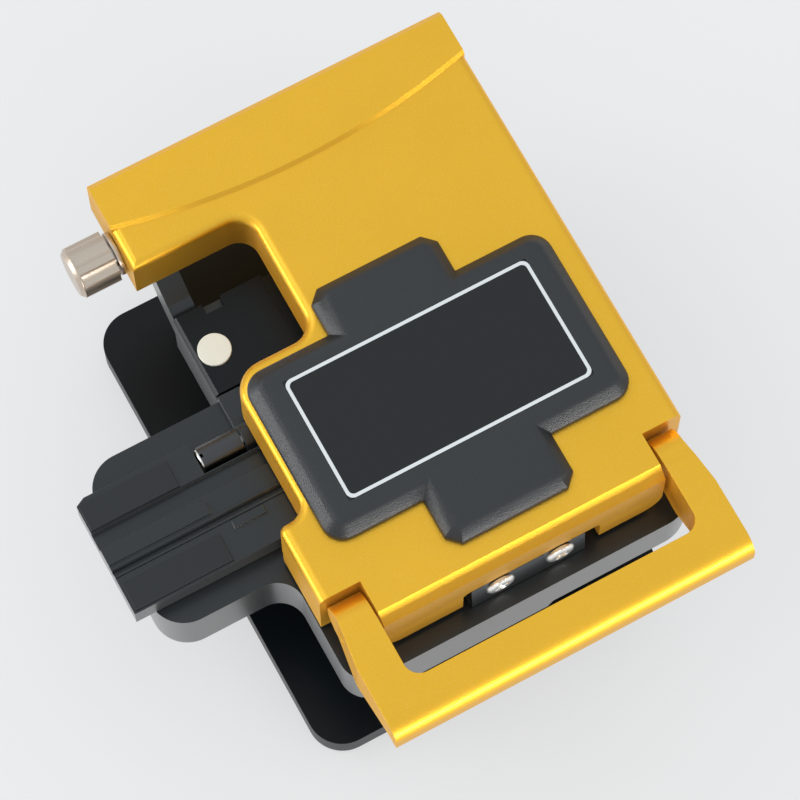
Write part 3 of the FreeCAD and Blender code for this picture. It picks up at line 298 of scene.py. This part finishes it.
def cross_screw(work, radius, head, shank_radius, shank, turn):
    """A domed head with a cross slot, standing on z = 0, with its shank below."""
    circle = bmesh.ops.create_circle(work, cap_ends=True, radius=radius, segments=HEAD_SIDES)["verts"]
    cap = circle[0].link_faces[0]
    for scale, rise in HEAD_STEPS:
        cap = raise_cap(work, cap, scale, head * rise)
    for corner in cap.verts:
        angle = math.atan2(corner.co.y, corner.co.x)
        reach = cross_reach(angle - turn, radius * SLOT_LENGTH, radius * SLOT_WIDTH)
        corner.co.x, corner.co.y = reach * math.cos(angle), reach * math.sin(angle)
    cap = raise_cap(work, cap, SLOT_BOTTOM[0], head * SLOT_BOTTOM[1])
    bmesh.ops.create_cone(work, cap_ends=True, segments=SHANK_SIDES, radius1=shank_radius,
                          radius2=shank_radius, depth=shank, matrix=Matrix.Translation((0, 0, -shank / 2)))


HEAD_RADIUS = 2.45 * MM
HEAD_HEIGHT = 0.75 * MM
HEAD_SEAT = 0.55 * MM     # how far the underside of the head lies behind the screw's front end
SHANK_RADIUS = 1.25 * MM
SHANK_CUT = 0.8 * MM      # the shank is this much shorter than the whole screw
LEFT_TURN, RIGHT_TURN = 0.35, 0.9     # of the slots, in radians
screw_low, screw_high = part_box("latch_screws")
screw_z = (screw_low[2] + screw_high[2]) / 2
cad_head_radius = (screw_high[2] - screw_low[2]) / 2
screws = bmesh.new()
shank_length = screw_high[1] - screw_low[1] - SHANK_CUT
for x, turn in ((screw_low[0] + cad_head_radius, LEFT_TURN), (screw_high[0] - cad_head_radius, RIGHT_TURN)):
    part = bmesh.new()
    cross_screw(part, HEAD_RADIUS, HEAD_HEIGHT, SHANK_RADIUS, shank_length, turn)
    place = Matrix.Translation((x, screw_low[1] + HEAD_SEAT, screw_z))
    bmesh.ops.transform(part, verts=part.verts, matrix=place @ Matrix.Rotation(math.pi / 2, 4, "X"))
    copy = bpy.data.meshes.new("screw_copy")
    part.to_mesh(copy)
    part.free()
    screws.from_mesh(copy)
    bpy.data.meshes.remove(copy)
screw_piece = new_piece("latch_screw_heads", screws, bright_steel, "lid", smooth=False)
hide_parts("latch_screws")

# ------------------------------------------------------------------ lock ring
# The ring's outline from the middle of its face over the rim and back: places along x from the barrel's end,
# and radii, in mm.
RING_PROFILE = ((-0.1, 0.0), (-0.1, 1.2), (-0.25, 1.3), (-0.3, 1.4), (-0.3, 1.85), (-0.2, 1.95), (0.0, 1.95),
                (0.0, 0.0))
RING_SIDES = 32
lock_low, lock_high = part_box("lock_barrel")
lock_y, lock_z = (lock_low[1] + lock_high[1]) / 2, (lock_low[2] + lock_high[2]) / 2
ring = bmesh.new()
profile = [ring.verts.new((lock_low[0] + along * MM, lock_y, lock_z + radius * MM))
           for along, radius in RING_PROFILE]
edges = [ring.edges.new(pair) for pair in zip(profile, profile[1:])]
bmesh.ops.spin(ring, geom=profile + edges, cent=(lock_low[0], lock_y, lock_z), axis=(1, 0, 0),
               angle=math.tau, steps=RING_SIDES, use_merge=True)
new_piece("lock_ring", ring, bright_steel, "lock", smooth=False)

# ------------------------------------------------------------------ moulded cover
BODY_REAR, BODY_FRONT = 10.195 * MM, -19.855 * MM     # the cross is a wide body with a tab before and behind
TAB_HALF = 11.05 * MM
BODY_CORNER, TAB_CORNER = 3.5 * MM, 2.0 * MM
SKIRT = 0.7 * MM
# How far each step of the rolled edge goes in and up, in mm.
ROLLED_EDGE = ((0.05, 0.22), (0.15, 0.24), (0.25, 0.27), (1.05, 1.07), (0.25, 0.2), (0.25, 0.15), (0.3, 0.1),
               (0.4, 0.05))
COVER_SOFT = 0.2 * MM
COVER_SHARP, COVER_CREASE = 30, 32                    # degrees
cover_low, cover_high = (Vector(c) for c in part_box("lid_cover"))
label_low, label_high = (Vector(c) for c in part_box("label_border"))
label_middle = (label_low + label_high) / 2
tab_left, tab_right = label_middle.x - TAB_HALF, label_middle.x + TAB_HALF
body_corners = [(cover_low.x, BODY_FRONT), (cover_high.x, BODY_FRONT), (cover_high.x, BODY_REAR),
                (cover_low.x, BODY_REAR)]
tab_corners = [(tab_left, cover_low.y), (tab_right, cover_low.y), (tab_right, cover_high.y),
               (tab_left, cover_high.y)]
outline = [body_corners[0], (tab_left, BODY_FRONT), tab_corners[0], tab_corners[1], (tab_right, BODY_FRONT),
           body_corners[1], body_corners[2], (tab_right, BODY_REAR), tab_corners[2], tab_corners[3],
           (tab_left, BODY_REAR), body_corners[3]]
cover = bmesh.new()
cover.faces.new([cover.verts.new((x, y, cover_low.z)) for x, y in outline])
soften_corners(cover, body_corners, BODY_CORNER, segments=8)
soften_corners(cover, tab_corners, TAB_CORNER, segments=1)
cap = raise_cap(cover, next(iter(cover.faces)), 1.0, SKIRT)
# The skirt rolls over into a slope and then into the flat top.
for step_in, step_up in ROLLED_EDGE:
    bmesh.ops.inset_region(cover, faces=[cap], thickness=step_in * MM, use_even_offset=True)
    bmesh.ops.translate(cover, vec=(0, 0, step_up * MM), verts=cap.verts)
# The top is cut along the label's four sides, and the piece between them sinks to seat the label.
for side, across in ((label_low, (1, 0, 0)), (label_high, (1, 0, 0)), (label_low, (0, 1, 0)),
                     (label_high, (0, 1, 0))):
    top = [f for f in cover.faces if all(v.co.z > cover_high.z - SAME_POINT for v in f.verts)]
    around = {e for f in top for e in f.edges} | {v for f in top for v in f.verts}
    bmesh.ops.bisect_plane(cover, geom=top + list(around), plane_co=side, plane_no=across)
seat_middle = Vector((label_middle.x, label_middle.y, cover_high.z))
seat = min((f for f in cover.faces if abs(f.normal.z) > 0.9),
           key=lambda f: (f.calc_center_median() - seat_middle).length)
raise_cap(cover, seat, 1.0, label_low.z - cover_high.z)
cover_piece = new_piece("moulded_cover", cover, black_plastic, "lid")
cover_piece.data.set_sharp_from_angle(angle=math.radians(COVER_SHARP))
soften_edges(cover_piece, COVER_SOFT, COVER_CREASE)
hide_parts("lid_cover")

# ------------------------------------------------------------------ soft edges on the solids
FLAT_WITHIN, SOLID_CREASE = 0.6, 28       # degrees
SOFT_EDGES = {                            # widths in mm
    "lid": 0.13, "bail_handle": 0.25, "bed_plate": 0.25, "base_plate": 0.3, "housing": 0.06,
    "fibre_slide": 0.15, "slide_pads": 0.12, "groove_plate": 0.06, "rear_block": 0.12, "access_plug": 0.15,
    "lock_bearing": 0.12, "lock_barrel": 0.15, "hinge_knob": 0.2, "knob_washer": 0.1, "latch_block": 0.15,
    "keeper_plate": 0.1, "carriage": 0.2, "rubber_feet": 0.25, "lower_clamps": 0.12,
}
# The housing's corners stand out by this much, so its back edge reaches past the lid's lower edge.
HOUSING_COAT = 0.35 * MM
for name, width in SOFT_EDGES.items():
    piece = nodes[name]
    weld = piece.modifiers.new("merged", "WELD")
    weld.merge_threshold = 2 * SAME_POINT
    flat = piece.modifiers.new("whole_faces", "DECIMATE")
    flat.decimate_type = "DISSOLVE"
    flat.angle_limit = math.radians(FLAT_WITHIN)
    if name == "housing":
        coat = piece.modifiers.new("paint_coat", "DISPLACE")
        coat.mid_level = 0.0
        coat.strength = HOUSING_COAT
    soften_edges(piece, width * MM, SOLID_CREASE)
    shading = piece.modifiers.new("even_shading", "WEIGHTED_NORMAL")
    shading.keep_sharp = True

# ------------------------------------------------------------------ floor, lights and camera
FLOOR_HALF = 1.5          # metres
FLOOR_GREY = 0.32
FLOOR_GLOW = 0.55         # seen by the camera, in reflections and through glass only
floor_mesh = bpy.data.meshes.new("floor")
floor = bpy.data.objects.new("floor", floor_mesh)
bpy.context.scene.collection.objects.link(floor)
work = bmesh.new()
bmesh.ops.create_grid(work, x_segments=1, y_segments=1, size=FLOOR_HALF)
work.to_mesh(floor_mesh)
work.free()
floor_material = bpy.data.materials.new("pale_table")
floor_material.use_nodes = True
tree = floor_material.node_tree
tree.nodes.clear()
paint = add_node(tree, "ShaderNodeBsdfDiffuse", Color=(FLOOR_GREY, FLOOR_GREY, FLOOR_GREY, 1))
glow = add_node(tree, "ShaderNodeEmission", Color=(1, 1, 1.005, 1))
path = tree.nodes.new("ShaderNodeLightPath")
seen = math_node(tree, "ADD", path.outputs["Is Camera Ray"], path.outputs["Is Glossy Ray"], clamp=True)
seen = math_node(tree, "ADD", seen, path.outputs["Is Transmission Ray"], clamp=True)
tree.links.new(math_node(tree, "MULTIPLY", seen, FLOOR_GLOW), glow.inputs["Strength"])
both = tree.nodes.new("ShaderNodeAddShader")
surface = tree.nodes.new("ShaderNodeOutputMaterial")
tree.links.new(paint.outputs[0], both.inputs[0])
tree.links.new(glow.outputs[0], both.inputs[1])
tree.links.new(both.outputs[0], surface.inputs["Surface"])
floor_mesh.materials.append(floor_material)

# A room that is bright overhead and darker towards the horizon.
HORIZON = (0.62, 0.62, 0.62, 1)
OVERHEAD = (0.80, 0.86, 0.90, 1)
OVERHEAD_FROM = 0.8       # the sine of the height from which the room is at its brightest
world = bpy.data.worlds.new("soft_room")
bpy.context.scene.world = world
world.use_nodes = True
sky = world.node_tree
direction = sky.nodes.new("ShaderNodeTexCoord")
height = sky.nodes.new("ShaderNodeSeparateXYZ")
sky.links.new(direction.outputs["Generated"], height.inputs[0])
ramp = sky.nodes.new("ShaderNodeValToRGB")
horizon, overhead = ramp.color_ramp.elements
horizon.position, horizon.color = 0.0, HORIZON
overhead.position, overhead.color = OVERHEAD_FROM, OVERHEAD
sky.links.new(height.outputs["Z"], ramp.inputs[0])
sky.links.new(ramp.outputs["Color"], sky.nodes["Background"].inputs["Color"])
sky.nodes["Background"].inputs["Strength"].default_value = 1.0


def soft_light(name, place, target, width, tall, power):
    """A soft box in metres and watts, which the camera doesn't see."""
    data = bpy.data.lights.new(name, "AREA")
    data.shape = "RECTANGLE"
    data.size = width
    data.size_y = tall
    data.energy = power
    lamp = bpy.data.objects.new(name, data)
    bpy.context.scene.collection.objects.link(lamp)
    lamp.location = place
    lamp.visible_camera = False
    lamp.rotation_euler = (Vector(target) - Vector(place)).to_track_quat("-Z", "Y").to_euler()


soft_light("front_light", (0.15, -0.95, 0.085), (0, 0, 0.04), width=0.9, tall=0.07, power=5.0)
soft_light("left_light", (-0.92, 0.28, 0.17), (0, 0, 0.04), width=0.5, tall=0.2, power=2.6)
soft_light("high_light", (-0.5, 0.5, 0.8), (0, 0, 0.03), width=0.5, tall=0.5, power=1.2)

CAMERA_PLACE = (-82.8 * MM, -168.2 * MM, 586.4 * MM)
CAMERA_TARGET = (6.8 * MM, -3.95 * MM, 51 * MM)
camera_data = bpy.data.cameras.new("camera")
camera_data.sensor_width = 36
camera_data.lens = 168.4
camera = bpy.data.objects.new("camera", camera_data)
bpy.context.scene.collection.objects.link(camera)
camera.location = CAMERA_PLACE
camera.rotation_euler = (Vector(CAMERA_TARGET) - camera.location).to_track_quat("-Z", "Y").to_euler()
camera_data.clip_start = 0.01
bpy.context.scene.camera = camera
bpy.context.scene.view_settings.view_transform = "Standard"
